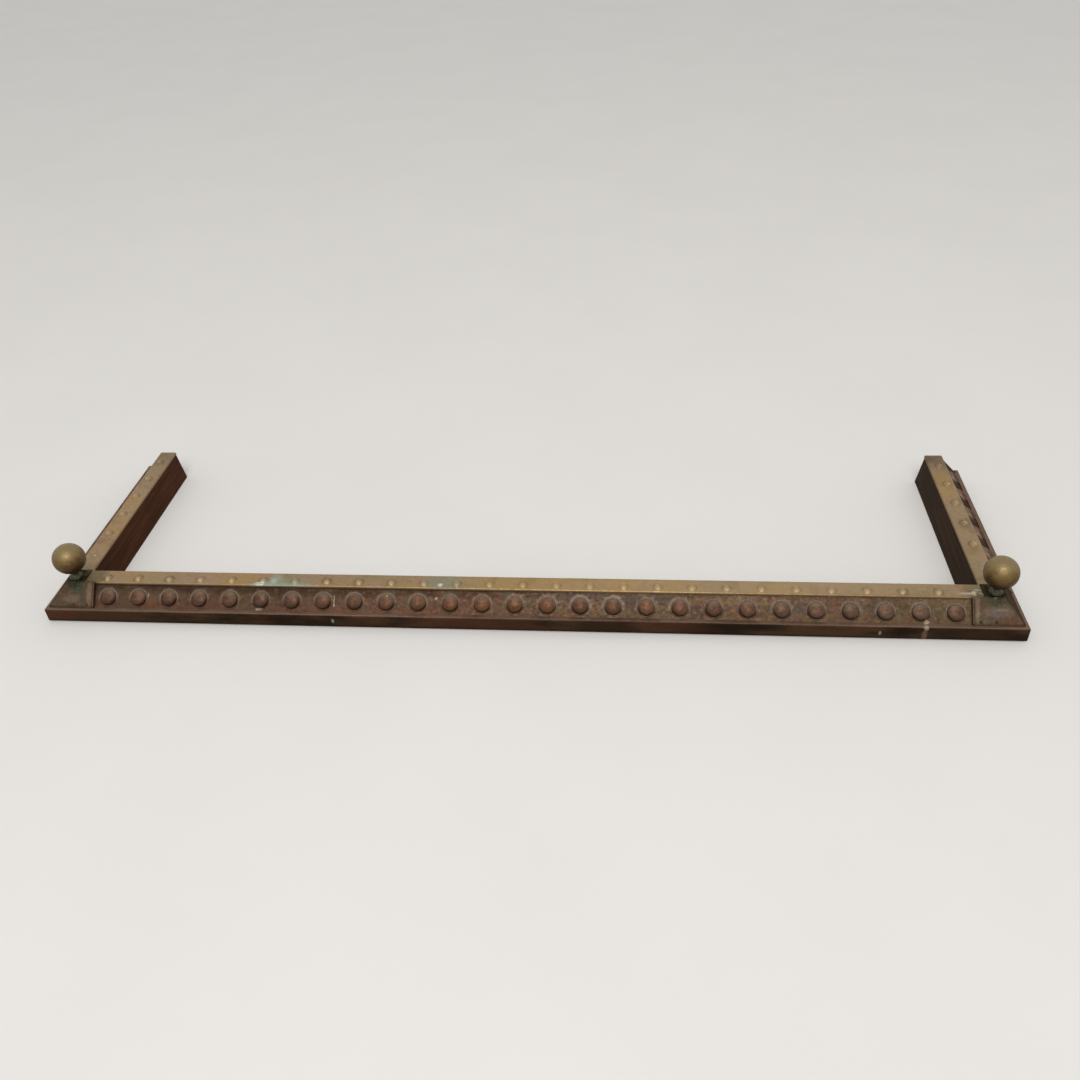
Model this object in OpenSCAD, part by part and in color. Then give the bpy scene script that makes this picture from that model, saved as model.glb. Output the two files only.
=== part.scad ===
// Fire fender: three stained timber rails, mitred at the front corners, dressed with folded
// sheet copper and brass. The raked facings carry rows of beaten bosses, the brass strips on
// top carry smaller studs, and a copper cap and a brass ball close each front corner.

/* [Overall size] */
// Width over the plinth, from left to right
fender_w = 1370; // [900:10:1800]
// Depth over the returns, from front to back
fender_d = 380; // [280:5:520]
// Height of the rail, from the floor to the top of the brass strip
rail_h = 50.5; // [48:0.5:60]

/* [Rail section] */
// Height of the plinth, from the floor to its ledge
plinth_h = 22.5; // [18:0.5:23]
// Width of the flat ledge in front of the raked facing
ledge_d = 8; // [5:0.5:9]
// Distance from the plinth's face back to the edge of the strip
rail_set = 30.5; // [29:0.5:36]
// Width of the brass strip on top
strip_w = 27; // [23:0.5:36]
// How far the inner face leans out from top to bottom
inner_lean = 8; // [0:0.5:16]

/* [Sheet metal] */
// Thickness of the sheet copper
copper_t = 1; // [0.6:0.1:1.4]
// Thickness of the sheet brass
brass_t = 1.2; // [0.8:0.1:1.6]
// Height of the lips along both edges of the strip
lip_h = 3.5; // [2.5:0.25:5]
// Width of the flange that folds under the plinth
flange_w = 12; // [8:0.5:13]
// Distance from the floor to that flange
flange_lift = 0.9; // [0.9:0.1:2]
// Radius of the plinth's rounded nose
nose_r = 2.2; // [2:0.2:4]
// Radius of the plinth's worn front corners
corner_r = 2; // [1:0.5:2.5]
// Radius of the other folds
fold_r = 1.8; // [1.7:0.1:2.2]
// Clearance between pieces that lie on each other
seat_gap = 0.1; // [0.05:0.05:0.2]

/* [Bosses on the facings] */
// Diameter of a boss
boss_d = 23; // [16:0.5:24]
// Height of a boss
boss_h = 5.2; // [4:0.2:7]
// Radius of a boss's shoulder, where its side turns over into its crown
boss_edge_r = 3.4; // [2:0.2:3.6]
// Outer diameter of the ring round a boss
boss_ring_d = 28.4; // [27:0.1:28.6]
// Height of that ring
boss_ring_h = 0.6; // [0.3:0.1:0.8]
// Distance up the facing, from the ledge to a boss's centre
boss_up = 14.5; // [14.4:0.1:15.5]
// Spacing of the bosses along the front
boss_pitch = 45.5; // [36:0.2:60]
// Least distance from a front corner to a boss on the front
boss_clear = 90; // [90:1:130]
// Spacing of the bosses along a return
return_boss_pitch = 49; // [36:0.5:60]
// Distance from the front to the first boss on a return
return_boss_start = 97; // [92:1:125]

/* [Studs on the strips] */
// Diameter of a stud
stud_d = 12; // [7:0.5:12]
// Height of a stud
stud_h = 2.4; // [1.5:0.1:3]
// Outer diameter of the ring round a stud
stud_ring_d = 17; // [14:0.5:18]
// Height of that ring
stud_ring_h = 0.5; // [0.3:0.1:0.6]
// Distance from the outer edge of the front strip to its studs' centres
stud_in = 9.5; // [9.5:0.25:12.5]
// Distance from the outer edge of a return's strip to its studs' centres
return_stud_in = 11.5; // [9.5:0.25:12.5]
// Spacing of the studs along the front
stud_pitch = 46.7; // [36:0.2:60]
// Least distance from a front corner to a stud, before the row is shifted
stud_clear = 76; // [76:1:110]
// How far the front row sits to the right of the middle
stud_shift = 10.5; // [-11:0.5:11]
// Spacing of the studs along a return
return_stud_pitch = 50.5; // [36:0.5:60]
// Distance from the front to the first stud on a return
return_stud_start = 96; // [70:1:120]

/* [Corner caps] */
// Thickness of a cap
cap_t = 1.2; // [0.8:0.1:1.4]
// Length of a cap along each side of its corner
cap_l = 73.5; // [70:0.5:75]
// Length of a cap's flat top along each side of its corner
cap_top_l = 57; // [56:0.5:58]
// How far the foot of a cap stands off the facing
cap_stand = 1.6; // [0.8:0.2:2]
// Radius of a cap's rounded hip
cap_hip_r = 4; // [2:0.5:5]
// Radius of the rolled rim at a cap's ends
cap_rim_r = 1.8; // [1:0.1:2]

/* [Ball finials] */
// Diameter of a ball
ball_d = 45; // [36:1:54]
// Wall of a ball
ball_t = 1.4; // [0.8:0.2:3]
// Height of a ball's centre above the strip
ball_up = 34.5; // [33.5:0.5:42]
// Distance from the strip's outer edges to a finial's centre
finial_in = 10.5; // [10.5:0.5:13]
// Diameter of a collar's foot
collar_d = 19; // [17:0.5:20]
// Diameter of a collar's waist
waist_d = 10; // [9:0.5:12]
// Diameter of a collar's cup
cup_d = 17; // [15:0.5:20]

/* [Rods, nuts and washers] */
// Diameter of a threaded rod
rod_d = 6; // [5:0.5:7]
// Clearance round a rod
rod_gap = 0.3; // [0.1:0.1:0.5]
// Width of a nut across its flats
nut_w = 10; // [9:0.5:12]
// Height of a nut
nut_h = 5; // [4:0.5:6]
// Diameter of a washer
washer_d = 18; // [14:0.5:18]
// Thickness of a washer
washer_t = 1.5; // [1:0.1:2]
// Diameter of the counterbore that hides them
counterbore_d = 20; // [19:0.5:21]
// Depth of that counterbore
counterbore_h = 12; // [11:0.5:15]

/* [Corner straps] */
// Length of a strap
strap_l = 86; // [80:1:88]
// Width of a strap
strap_w = 15; // [12:0.5:15.5]
// Thickness of a strap
strap_t = 2.5; // [2:0.1:3]
// Distance from the floor to a strap
strap_lift = 0.4; // [0.3:0.1:0.8]
// Distance from the outer corner to a strap's centre, along each side
strap_at = 55; // [55:0.5:56]
// Diameter of a screw's shank
screw_d = 4; // [3:0.5:4.5]
// Length of a screw
screw_l = 24; // [14:1:28]

/* [Pins and nails] */
// Diameter of a cap nail's head
nail_head_d = 4.4; // [3:0.2:5]
// Diameter of a cap nail's shank
nail_d = 1.8; // [1.2:0.1:2]
// Length of a cap nail's shank
nail_l = 14; // [8:1:16]
// Distances of the cap nails from the outer corner
nail_near = 43; // [42:0.5:48]
nail_far = 63; // [56:0.5:66]
// Diameter of a strip pin's head
pin_head_d = 2.4; // [2:0.1:2.6]
// Diameter of a strip pin's shank
pin_d = 1.2; // [0.8:0.1:1.4]
// Length of a strip pin's shank
pin_l = 10; // [6:1:12]
// Spacing of the strip pins
pin_pitch = 150; // [100:5:200]
// Diameter of a plinth tack's head
tack_head_d = 6; // [4:0.2:7]
// Thickness of a plinth tack's head
tack_head_h = 0.6; // [0.4:0.1:0.7]
// Diameter of a plinth tack's shank
tack_d = 1.6; // [1:0.1:2]
// Length of a plinth tack's shank
tack_l = 12; // [8:1:15]
// Spacing of the plinth tacks
tack_pitch = 150; // [100:5:200]

/* [Hidden] */
$fn = 48;

// Segments in a fold, a length past every edge, for cuts, and a hair's breadth, by which rounded
// cuts miss the faces that they run into
fold_steps = 3;
nose_steps = 5;
past = 5;
hair = 0.02;

// Heights of the layers on the ledge and on top of the rail
ledge_under_z = plinth_h - copper_t - seat_gap;
top_under_z = rail_h - brass_t - seat_gap;
core_ledge_z = ledge_under_z - copper_t - seat_gap;
core_flange_z = flange_lift + copper_t + seat_gap;
core_top_z = top_under_z - copper_t - seat_gap;

// The facing's outer line, from the ledge to just inside the strip's lip. Its fold on the
// ledge is tight, and its top flange stops short of the strip's inner fold.
ledge_fold_r = 0.6;
flange_short = 1;
lip_foot = [rail_set + brass_t + seat_gap, rail_h - lip_h];
ledge_foot = [ledge_d, plinth_h];
rake = lip_foot - ledge_foot;
rake_angle = atan2(rake[1], rake[0]);
function on_rake(z) = [ledge_foot[0] + (z - plinth_h) * rake[0] / rake[1], z];

// The inner face's line, at the back of the timber
lean = inner_lean / rail_h;
function inner_s(z, out) = rail_set + strip_w + lean * (rail_h - z) + out;
core_inset = -(brass_t + seat_gap);
core_base_s = inner_s(0, core_inset);
lean_angle = atan(lean);

// The inside of a cap's raked leaf, and lines parallel to it
cap_z = rail_h + seat_gap;
cap_top_z = cap_z + cap_t;
cap_head = [rail_set - seat_gap, cap_z];
cap_foot = [ledge_d - cap_stand, plinth_h + seat_gap];
cap_angle = atan2(cap_head[1] - cap_foot[1], cap_head[0] - cap_foot[0]);
function on_cap(z, out) = [cap_foot[0] + (z - cap_foot[1]) / tan(cap_angle) - out / sin(cap_angle), z];
cap_inner_s = rail_set + strip_w - 0.3;

// Heights and places of a finial's pieces
finial_s = rail_set + finial_in;
ball_r = ball_d / 2;
ball_z = rail_h + ball_up;
cup_rim = 1;
collar_h = ball_z - sqrt(ball_r * ball_r - pow(cup_d / 2 - cup_rim, 2)) - cap_top_z;
collar_steps = 16;
rod_in_ball = 12;
rod_top_z = ball_z - ball_r + rod_in_ball;
socket_top_z = rod_top_z + 2;
socket_d = 2 * rod_d;
washer_z = counterbore_h - washer_t - seat_gap;
nut_z = washer_z - nut_h - seat_gap;
rod_foot_z = nut_z - 1.5;

// Countersink and hole sizes for the straps' screws
screw_head_d = 2 * screw_d;
screw_gap = 0.2;
strap_pocket_h = strap_lift + strap_t + seat_gap;
screw_places = [-34, -14, 14, 34];

// How a strip pin's and a nail's shank clears its hole
pilot_gap = 0.1;
pin_z = rail_h - lip_h / 2 - brass_t / 4;
pin_end = 60;
tack_end = 110;

// Plain vector helpers
function unit(v) = v / norm(v);
function left_of(p, q) = let (d = unit(q - p)) [-d[1], d[0]];

// Points of the arc that rounds corner b between a and c
function round_corner(a, b, c, r, steps) =
  let (
    u = unit(a - b),
    v = unit(c - b),
    half = acos(u * v) / 2,
    mid = b + unit(u + v) * r / sin(half),
    from = b + u * r / tan(half) - mid,
    to = b + v * r / tan(half) - mid,
    turn = atan2(from[0] * to[1] - from[1] * to[0], from * to),
    start = atan2(from[1], from[0])
  )
  [for (k = [0 : steps]) mid + r * [cos(start + turn * k / steps), sin(start + turn * k / steps)]];

// A path with every inner corner rounded to its own radius and number of segments
function rounded(path, radii, steps) = [
  path[0],
  for (i = [1 : len(path) - 2])
    each round_corner(path[i - 1], path[i], path[i + 1], radii[i - 1], steps[i - 1]),
  path[len(path) - 1]
];

// Offset of one point of a path, to the path's left
function beside(path, i, t) =
  i == 0 ? path[0] + t * left_of(path[0], path[1])
  : i == len(path) - 1 ? path[i] + t * left_of(path[i - 1], path[i])
  : let (a = left_of(path[i - 1], path[i]), b = left_of(path[i], path[i + 1]))
    path[i] + t * (a + b) / (1 + a * b);

// Closed outline of a sheet whose outer side follows a path
function folded(path, t) =
  concat(path, [for (i = [len(path) - 1 : -1 : 0]) beside(path, i, t)]);

// Sections, as distance from the plinth's face and height
inward = [(copper_t + seat_gap) / sin(rake_angle), 0];
core_section = concat(
  rounded(
    [
      [flange_w + seat_gap, core_flange_z],
      [copper_t + seat_gap, core_flange_z],
      [copper_t + seat_gap, core_ledge_z],
      on_rake(core_ledge_z) + inward
    ],
    [fold_r - copper_t - seat_gap, nose_r - copper_t - seat_gap], [fold_steps, nose_steps]
  ),
  [
    on_rake(core_top_z) + inward,
    [inner_s(core_top_z, core_inset), core_top_z],
    [core_base_s, 0],
    [flange_w + seat_gap, 0]
  ]
);

facing_section = folded(
  rounded(
    [
      [nose_r + seat_gap, ledge_under_z],
      on_rake(ledge_under_z),
      on_rake(top_under_z),
      [inner_s(top_under_z, core_inset) - flange_short, top_under_z]
    ],
    [ledge_fold_r, fold_r], [fold_steps, fold_steps]
  ),
  -copper_t
);

plinth_section = folded(
  rounded(
    [
      [flange_w, flange_lift],
      [0, flange_lift],
      [0, plinth_h],
      [on_rake(plinth_h - copper_t)[0] - 1.5 * seat_gap, plinth_h]
    ],
    [fold_r, nose_r], [fold_steps, nose_steps]
  ),
  -copper_t
);

strip_section = folded(
  rounded(
    [
      [rail_set, rail_h - lip_h],
      [rail_set, rail_h],
      [inner_s(rail_h, 0), rail_h],
      [inner_s(rail_h - lip_h, 0), rail_h - lip_h]
    ],
    [fold_r, fold_r], [fold_steps, fold_steps]
  ),
  -brass_t
);

// How many copies of a pitch fit in a length
function copies(length, pitch) = floor(length / pitch) + 1;

boss_n = copies(fender_w - 2 * boss_clear, boss_pitch);
boss_x = [for (i = [0 : boss_n - 1]) (i - (boss_n - 1) / 2) * boss_pitch];
boss_end = boss_ring_d / 2 + 10;
return_boss_n = copies(fender_d - return_boss_start - boss_end, return_boss_pitch);
return_boss_x = [for (i = [0 : return_boss_n - 1]) return_boss_start + i * return_boss_pitch];
stud_n = copies(fender_w - 2 * stud_clear, stud_pitch);
stud_x = [for (i = [0 : stud_n - 1]) (i - (stud_n - 1) / 2) * stud_pitch + stud_shift];
stud_end = stud_ring_d / 2 + 10;
return_stud_n = copies(fender_d - return_stud_start - stud_end, return_stud_pitch);
return_stud_x = [for (i = [0 : return_stud_n - 1]) return_stud_start + i * return_stud_pitch];

pin_n = copies(fender_w - 2 * (core_base_s + pin_end), pin_pitch);
pin_x = [for (i = [0 : pin_n - 1]) (i - (pin_n - 1) / 2) * pin_pitch];
return_pin_n = copies(fender_d - core_base_s - 2 * pin_end, pin_pitch);
return_pin_x = [for (i = [0 : return_pin_n - 1]) core_base_s + pin_end + i * pin_pitch];
tack_n = copies(fender_w - 2 * tack_end, tack_pitch);
tack_x = [for (i = [0 : tack_n - 1]) (i - (tack_n - 1) / 2) * tack_pitch];
return_tack_n = copies(fender_d - 2 * tack_end, tack_pitch);
return_tack_x = [for (i = [0 : return_tack_n - 1]) tack_end + i * tack_pitch];

// Places: along the front, along a return, and at a front corner. In each, x runs along the
// rail or away from the corner, and y runs in from the plinth's face.
module at_front() {
  translate([0, -fender_d / 2, 0]) children();
}

module at_right() {
  translate([fender_w / 2, -fender_d / 2, 0]) rotate([0, 0, 90]) children();
}

module at_left() {
  mirror([1, 0, 0]) at_right() children();
}

module at_left_corner() {
  translate([-fender_w / 2, -fender_d / 2, 0]) children();
}

module at_right_corner() {
  mirror([1, 0, 0]) at_left_corner() children();
}

module both_arms() {
  children();
  mirror([1, -1, 0]) children();
}

// A section drawn out along x
module drawn(section, from, to) {
  translate([from, 0, 0]) rotate([90, 0, 90]) linear_extrude(to - from) polygon(section);
}

// A front rail, mitred at both ends, and a return, mitred at the front
module front_run(section) {
  reach = fender_w / 2 - seat_gap;
  deep = core_base_s + past;
  intersection() {
    drawn(section, -reach, reach);
    translate([0, 0, -past])
      linear_extrude(rail_h + 2 * past)
        polygon([[-reach, 0], [reach, 0], [reach - deep, deep], [deep - reach, deep]]);
  }
}

module return_run(section) {
  deep = core_base_s + past;
  intersection() {
    drawn(section, 0, fender_d);
    translate([0, 0, -past])
      linear_extrude(rail_h + 2 * past)
        polygon([[seat_gap, 0], [fender_d, 0], [fender_d, deep], [deep + seat_gap, deep]]);
  }
}

// A beaten boss, standing on the plane z = 0 of a sheet: a shoulder of radius e that rises square
// from the sheet, and a crown that runs into it without a crease. It goes on to depth below z = 0.
module boss(r, h, e, depth) {
  shoulder = [r - e, 0];
  crown_r = (shoulder[0] * shoulder[0] + h * h - e * e) / (2 * (h - e));
  crown = [0, h - crown_r];
  meet = shoulder + e * unit(shoulder - crown);
  rotate_extrude() {
    translate([0, -depth]) square([r - e, depth]);
    intersection() {
      translate(shoulder) circle(e);
      translate([0, -depth]) square([r, depth + h]);
    }
    intersection() {
      translate(crown) circle(crown_r);
      polygon([[0, -depth], shoulder, meet, meet + [0, h], [0, 2 * h]]);
    }
  }
}

// A stud, which is a plain dome, and the hollow behind it
module stud(d, h, t) {
  r = (d * d / 4 + h * h) / (2 * h);
  intersection() {
    translate([0, 0, h - r]) sphere(r);
    translate([-d, -d, -t / 2]) cube([2 * d, 2 * d, h + t]);
  }
}

module stud_hollow(d, h, t) {
  r = (d * d / 4 + h * h) / (2 * h);
  translate([0, 0, h - r]) sphere(r - t);
}

// The low ring that the punch raises round a boss or a stud of a sheet
module ring(d, h, t) {
  bead_r = 1.4;
  bead_half = sqrt(h * (2 * bead_r - h));
  intersection() {
    rotate_extrude() translate([d / 2 - bead_half, h - bead_r]) circle(bead_r);
    translate([-d, -d, -t / 2]) cube([2 * d, 2 * d, h + t]);
  }
}

// Rows of bosses on a facing and of studs on a strip
module on_facing(places) {
  centre = ledge_foot + boss_up * unit(rake);
  for (x = places) translate([x, centre[0], centre[1]]) rotate([rake_angle, 0, 0]) children();
}

module on_strip(places, in) {
  for (x = places) translate([x, rail_set + in, rail_h]) children();
}

module boss_row(places) {
  on_facing(places) {
    boss(boss_d / 2, boss_h, boss_edge_r, copper_t / 2);
    ring(boss_ring_d, boss_ring_h, copper_t);
  }
}

module boss_hollows(places) {
  on_facing(places)
    boss(boss_d / 2 - copper_t, boss_h - copper_t, boss_edge_r - copper_t, 1.5 * copper_t);
}

module stud_row(places, in) {
  on_strip(places, in) {
    stud(stud_d, stud_h, brass_t);
    ring(stud_ring_d, stud_ring_h, brass_t);
  }
}

module stud_hollows(places, in) {
  on_strip(places, in) stud_hollow(stud_d, stud_h, brass_t);
}

// Fixings, each drawn about its own axis, with its head's seat at z = 0
module shank_hole(d, l) {
  translate([0, 0, -l - 1]) cylinder(d = d, h = l + past);
}

module cap_nail() {
  sink = nail_head_d / 2;
  intersection() {
    translate([0, 0, 1.3 - sink]) sphere(sink);
    cylinder(d = nail_head_d, h = 2);
  }
  translate([0, 0, -nail_l]) cylinder(d = nail_d, h = nail_l + 0.2);
}

module strip_pin() {
  translate([0, 0, -pin_l]) cylinder(d = pin_d, h = pin_l + 0.2);
  cylinder(d1 = pin_head_d, d2 = pin_head_d - 0.8, h = 0.7);
}

module plinth_tack() {
  translate([0, 0, -tack_l]) cylinder(d = tack_d, h = tack_l + 0.2);
  cylinder(d = tack_head_d, h = tack_head_h);
}

module strap_screw() {
  head_h = screw_head_d / 4;
  difference() {
    union() {
      translate([0, 0, -head_h]) cylinder(d1 = screw_d, d2 = screw_head_d, h = head_h);
      translate([0, 0, -screw_l]) cylinder(d = screw_d, h = screw_l - head_h + 0.01);
    }
    translate([-screw_head_d, -0.5, -0.8]) cube([2 * screw_head_d, 1, 2]);
  }
}

// Where the fixings go
module nail_places() {
  foot = cap_foot + 4 * [cos(cap_angle), sin(cap_angle)];
  out = (cap_t + seat_gap) * [-sin(cap_angle), cos(cap_angle)];
  both_arms()
    for (x = [nail_near, nail_far])
      translate([x, foot[0] + out[0], foot[1] + out[1]]) rotate([cap_angle, 0, 0]) children();
}

module pin_places(places) {
  for (x = places)
    translate([x, inner_s(pin_z, 0) + seat_gap, pin_z]) rotate([-90 + lean_angle, 0, 0]) children();
}

module tack_places(places) {
  for (x = places)
    translate([x, flange_w / 2 + 0.5, flange_lift - seat_gap]) rotate([180, 0, 0]) children();
}

module strap_place() {
  translate([strap_at, strap_at, 0]) rotate([0, 0, -45]) children();
}

// What is cut from the timber and the facings at a front corner
module corner_cuts() {
  nail_places() shank_hole(nail_d + pilot_gap, nail_l);
  translate([finial_s, finial_s, -past]) {
    cylinder(d = rod_d + rod_gap, h = rail_h + 2 * past);
    cylinder(d = counterbore_d, h = counterbore_h + past);
  }
  strap_place() {
    translate([0, 0, -past])
      strap_blank(strap_l + screw_gap, strap_w + screw_gap, strap_pocket_h + past);
    for (x = screw_places)
      translate([x, 0, strap_lift]) rotate([180, 0, 0]) shank_hole(screw_d + pilot_gap, screw_l);
  }
}

module strap_blank(l, w, h) {
  translate([-(l - w) / 2, -w / 2, 0]) cube([l - w, w, h]);
  for (x = [-1, 1]) translate([x * (l - w) / 2, 0, 0]) cylinder(d = w, h = h);
}

// What wear has taken off the plinth's front corner
module worn_corner() {
  translate([0, 0, -past]) linear_extrude(rail_h + past) difference() {
    translate([-past, -past]) square(corner_r + past);
    translate([corner_r, corner_r]) circle(corner_r + hair);
  }
}

// The pieces of one side
module return_core() {
  difference() {
    return_run(core_section);
    pin_places(return_pin_x) shank_hole(pin_d + pilot_gap, pin_l);
    tack_places(return_tack_x) shank_hole(tack_d + pilot_gap, tack_l);
    corner_cuts();
  }
}

module return_facing() {
  difference() {
    union() {
      return_run(facing_section);
      boss_row(return_boss_x);
    }
    boss_hollows(return_boss_x);
    pin_places(return_pin_x) shank_hole(pin_d + pilot_gap, pin_l);
    corner_cuts();
  }
}

module return_plinth() {
  difference() {
    return_run(plinth_section);
    tack_places(return_tack_x) shank_hole(tack_d + pilot_gap, tack_l);
    worn_corner();
  }
}

module return_strip() {
  difference() {
    union() {
      return_run(strip_section);
      stud_row(return_stud_x, return_stud_in);
    }
    stud_hollows(return_stud_x, return_stud_in);
    pin_places(return_pin_x) shank_hole(pin_d + pilot_gap, pin_l);
    corner_cuts();
  }
}

module front_core() {
  color("#3f1f12") difference() {
    at_front() front_run(core_section);
    at_front() pin_places(pin_x) shank_hole(pin_d + pilot_gap, pin_l);
    at_front() tack_places(tack_x) shank_hole(tack_d + pilot_gap, tack_l);
    at_left_corner() corner_cuts();
    at_right_corner() corner_cuts();
  }
}

module left_core() {
  color("#4a2416") at_left() return_core();
}

module right_core() {
  color("#33190f") at_right() return_core();
}

module front_facing() {
  color("#7d5b49") difference() {
    at_front() union() {
      front_run(facing_section);
      boss_row(boss_x);
    }
    at_front() boss_hollows(boss_x);
    at_front() pin_places(pin_x) shank_hole(pin_d + pilot_gap, pin_l);
    at_left_corner() corner_cuts();
    at_right_corner() corner_cuts();
  }
}

module left_facing() {
  color("#7a5a4a") at_left() return_facing();
}

module right_facing() {
  color("#7a5a4a") at_right() return_facing();
}

module front_plinth() {
  color("#4d3226") difference() {
    at_front() front_run(plinth_section);
    at_front() tack_places(tack_x) shank_hole(tack_d + pilot_gap, tack_l);
    at_left_corner() worn_corner();
    at_right_corner() worn_corner();
  }
}

module left_plinth() {
  color("#523629") at_left() return_plinth();
}

module right_plinth() {
  color("#4a3025") at_right() return_plinth();
}

module front_strip() {
  color("#a98b62") difference() {
    at_front() union() {
      front_run(strip_section);
      stud_row(stud_x, stud_in);
    }
    at_front() stud_hollows(stud_x, stud_in);
    at_front() pin_places(pin_x) shank_hole(pin_d + pilot_gap, pin_l);
    at_left_corner() corner_cuts();
    at_right_corner() corner_cuts();
  }
}

module left_strip() {
  color("#a48559") at_left() return_strip();
}

module right_strip() {
  color("#a98a60") at_right() return_strip();
}

// The solid under a hipped roof whose two slopes have the same section
module hip(section) {
  intersection() {
    drawn(section, -past, cap_l + past);
    mirror([1, -1, 0]) drawn(section, -past, cap_l + past);
  }
}

// Everything under the two planes of a cap's leaves, with the hip where they meet rounded
module under_hip() {
  rise = atan(tan(cap_angle) / sqrt(2));
  half = 90 - acos(cos(cap_angle) * cos(cap_angle)) / 2;
  far = 3 * cap_l;
  foot = on_cap(0, cap_t + hair);
  side = rounded(
    [[far * cos(half), far * sin(half)], [0, 0], [far * cos(half), -far * sin(half)]],
    [cap_hip_r], [nose_steps]
  );
  translate([foot[0], foot[0], foot[1]]) rotate([0, 0, 45]) rotate([0, 90 - rise, 0])
    translate([0, 0, -far]) linear_extrude(2 * far) polygon(side);
}

// A corner cap: two raked leaves and a flat top in one sheet, with a rolled rim at each end
module cap() {
  far = cap_l + past;
  foot_z = cap_foot[1];
  leaf_s = rail_set - seat_gap;
  outside = concat(
    rounded(
      [on_cap(foot_z, cap_t), on_cap(cap_top_z, cap_t), [far, cap_top_z]],
      [2 * cap_t], [nose_steps]
    ),
    [[far, foot_z]]
  );
  inside = [on_cap(foot_z - past, 0), on_cap(cap_z, 0), [far, cap_z], [far, foot_z - past]];
  under_lip_z = rail_h - lip_h - seat_gap;
  edge = [
    on_cap(foot_z, cap_t / 2),
    on_rake(foot_z) - [2 * seat_gap, 0],
    on_rake(under_lip_z) - [2 * seat_gap, 0],
    [leaf_s, under_lip_z],
    [leaf_s, rail_h],
    on_cap(rail_h, cap_t / 2)
  ];
  rim_foot = on_cap(foot_z + cap_rim_r, cap_t);
  rim_head = on_cap(rail_h - cap_rim_r, cap_t);
  difference() {
    union() {
      intersection() {
        difference() {
          hip(outside);
          hip(inside);
        }
        under_hip();
        both_arms() {
          cube([cap_l, leaf_s, cap_top_z + past]);
          cube([cap_top_l, cap_inner_s, cap_top_z + past]);
        }
      }
      both_arms() {
        drawn(edge, cap_l - cap_t, cap_l);
        translate([cap_l - 0.8 * cap_rim_r, rim_foot[0], rim_foot[1]]) rotate([cap_angle - 90, 0, 0]) {
          sphere(cap_rim_r);
          cylinder(r = cap_rim_r, h = norm(rim_head - rim_foot));
          translate([0, 0, norm(rim_head - rim_foot)]) sphere(cap_rim_r);
        }
      }
    }
    nail_places() shank_hole(nail_d + pilot_gap, nail_l);
    translate([finial_s, finial_s, 0]) cylinder(d = rod_d + rod_gap, h = cap_top_z + past);
  }
}

module left_cap() {
  color("#6e564a") at_left_corner() cap();
}

module right_cap() {
  color("#6e564a") at_right_corner() cap();
}

// The pieces of a finial, drawn about its rod
module at_finial() {
  translate([finial_s, finial_s, 0]) children();
}

module ball() {
  below = ball_z - ball_r - past;
  difference() {
    translate([0, 0, ball_z]) sphere(ball_r, $fn = 96);
    difference() {
      translate([0, 0, ball_z]) sphere(ball_r - ball_t, $fn = 96);
      translate([0, 0, below]) cylinder(d = socket_d, h = socket_top_z - below);
    }
    translate([0, 0, below]) cylinder(d = rod_d + rod_gap, h = rod_top_z + 1 - below);
  }
}

function collar_r(t) =
  t < 0.5 ? waist_d / 2 + (collar_d / 2 - cup_rim - waist_d / 2) * (1 + cos(360 * t)) / 2
  : waist_d / 2 + (cup_d - waist_d) / 2 * (1 + cos(360 * t)) / 2;

module collar() {
  foot_r = collar_d / 2;
  foot_h = 1.5;
  bevel = 0.4;
  foot = [
    [0, 0], [foot_r - bevel, 0], [foot_r, bevel],
    [foot_r, foot_h - bevel], [foot_r - bevel, foot_h]
  ];
  neck = [
    for (k = [0 : collar_steps])
      [collar_r(k / collar_steps), foot_h + (collar_h - foot_h) * k / collar_steps]
  ];
  difference() {
    translate([0, 0, cap_top_z])
      rotate_extrude($fn = 64) polygon(concat(foot, neck, [[0, collar_h]]));
    translate([0, 0, ball_z]) sphere(ball_r + seat_gap, $fn = 96);
    cylinder(d = rod_d + rod_gap, h = ball_z);
  }
}

module rod() {
  bevel = 0.6;
  translate([0, 0, rod_foot_z]) cylinder(d1 = rod_d - 2 * bevel, d2 = rod_d, h = bevel);
  translate([0, 0, rod_foot_z + bevel]) cylinder(d = rod_d, h = rod_top_z - rod_foot_z - 2 * bevel);
  translate([0, 0, rod_top_z - bevel]) cylinder(d1 = rod_d, d2 = rod_d - 2 * bevel, h = bevel);
}

module washer() {
  translate([0, 0, washer_z]) difference() {
    cylinder(d = washer_d, h = washer_t);
    translate([0, 0, -1]) cylinder(d = rod_d + rod_gap, h = washer_t + 2);
  }
}

module nut() {
  across = nut_w / cos(30);
  translate([0, 0, nut_z]) difference() {
    intersection() {
      cylinder(d = across, h = nut_h, $fn = 6);
      translate([0, 0, -nut_w]) cylinder(d1 = 3 * nut_w, d2 = nut_w, h = nut_w + nut_h);
      cylinder(d1 = nut_w, d2 = 3 * nut_w, h = nut_w + nut_h);
    }
    translate([0, 0, -1]) cylinder(d = rod_d + rod_gap, h = nut_h + 2);
  }
}

module left_ball() {
  color("#a08a4c") at_left_corner() at_finial() ball();
}

module right_ball() {
  color("#a08a4c") at_right_corner() at_finial() ball();
}

module left_collar() {
  color("#5f5a40") at_left_corner() at_finial() collar();
}

module right_collar() {
  color("#5f5a40") at_right_corner() at_finial() collar();
}

module left_rod() {
  color("#8a8578") at_left_corner() at_finial() rod();
}

module right_rod() {
  color("#8a8578") at_right_corner() at_finial() rod();
}

module left_washer() {
  color("#77736a") at_left_corner() at_finial() washer();
}

module right_washer() {
  color("#77736a") at_right_corner() at_finial() washer();
}

module left_nut() {
  color("#8a7a50") at_left_corner() at_finial() nut();
}

module right_nut() {
  color("#8a7a50") at_right_corner() at_finial() nut();
}

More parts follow.
